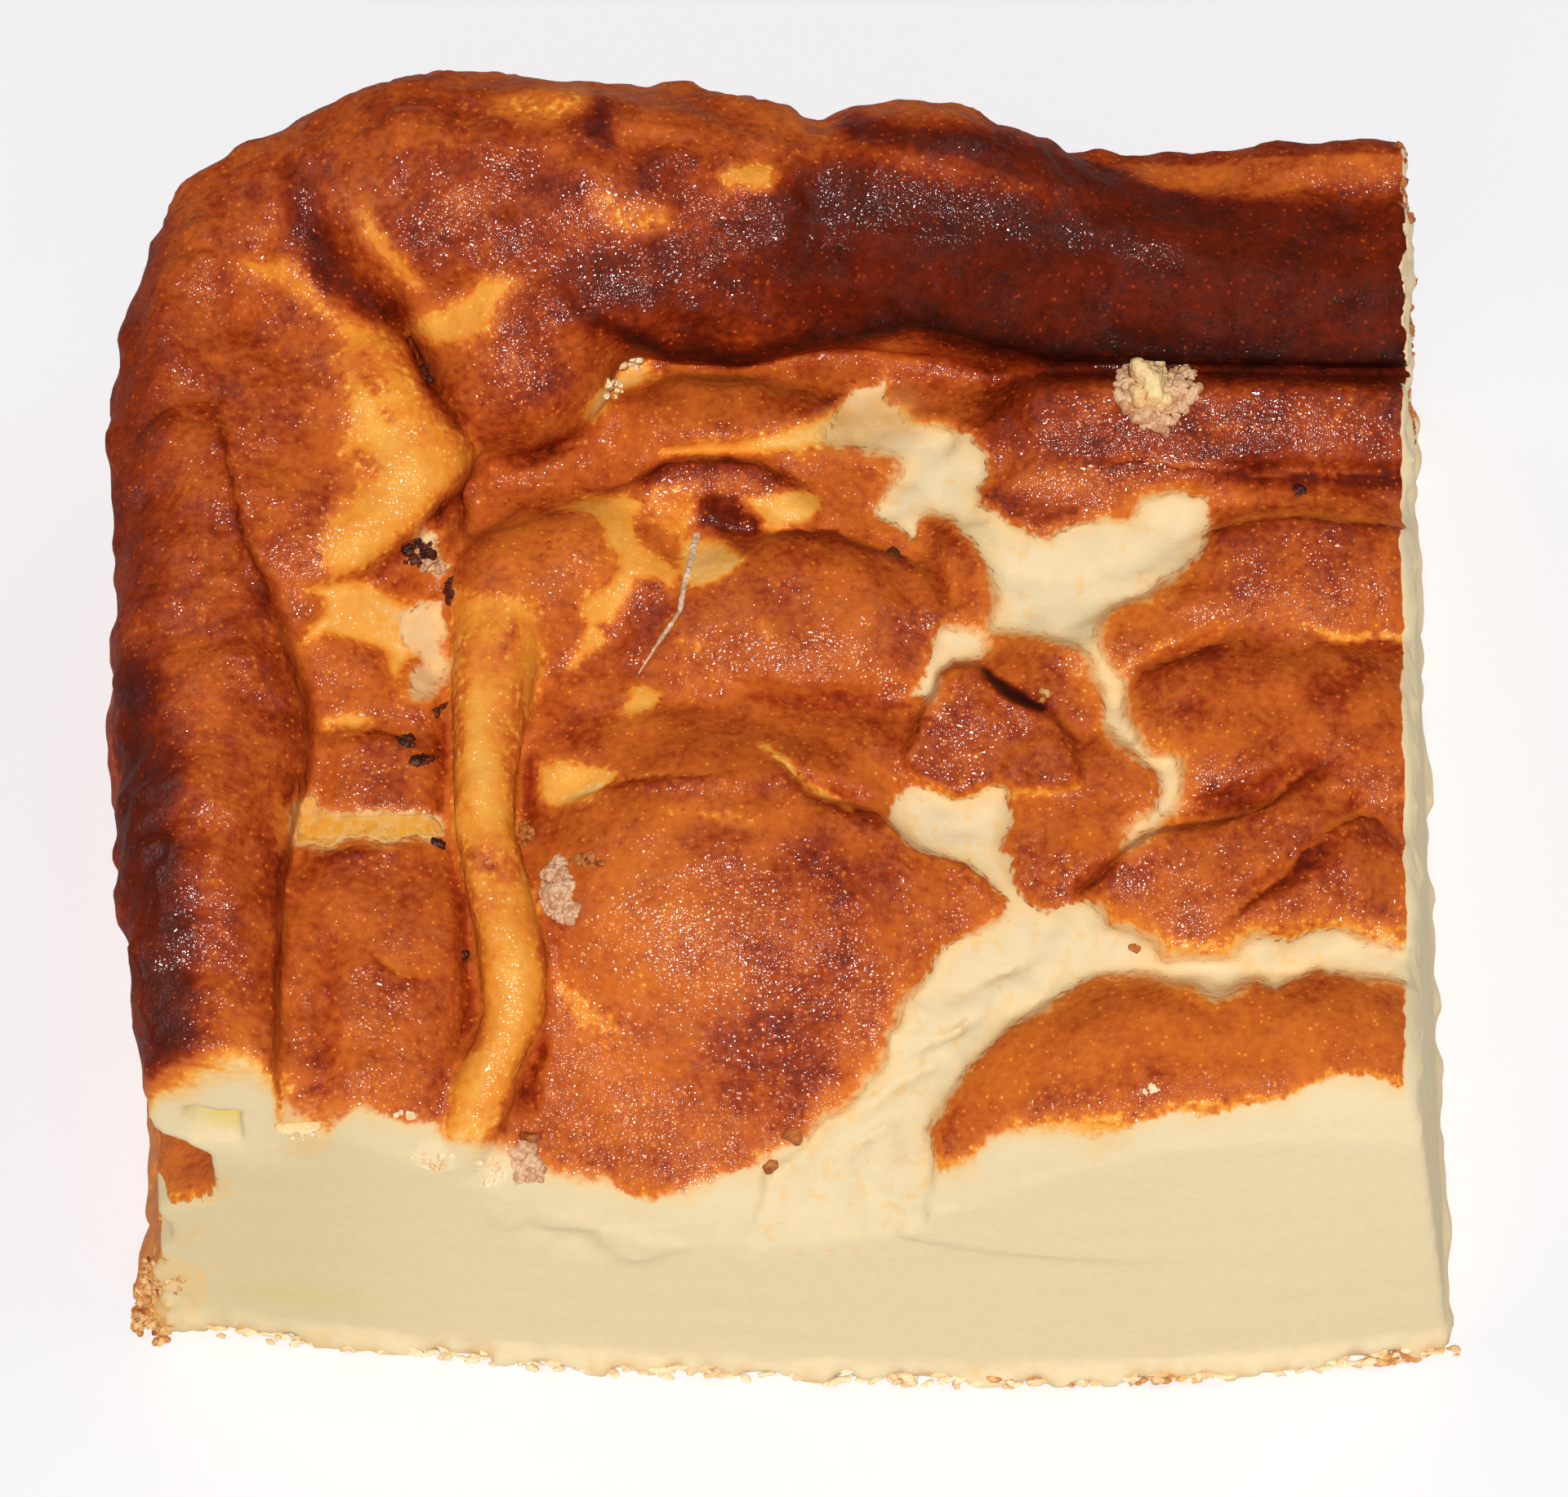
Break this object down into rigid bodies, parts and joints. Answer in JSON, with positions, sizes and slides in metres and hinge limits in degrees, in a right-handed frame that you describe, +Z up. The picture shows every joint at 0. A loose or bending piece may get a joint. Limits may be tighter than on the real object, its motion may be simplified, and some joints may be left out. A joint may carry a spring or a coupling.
{
  "type": "far breton portion",
  "caption": "Corner portion of a dense baked custard cake with a puffed folded rim, a wrinkled browned top with pale cracks and two knife-cut faces.",
  "frame": {"origin": "centre of the bounding box in plan, on the board the portion stands on", "axes": "+X along the front cut to the right, +Y from the front cut to the baked back rim, +Z up"},
  "size_m": [0.0916, 0.0814, 0.0439],
  "materials": {
    "baked_custard": "satin"
  },
  "bodies": {
    "root": {"custard_cake": "baked_custard"}
  },
  "joints": []
}
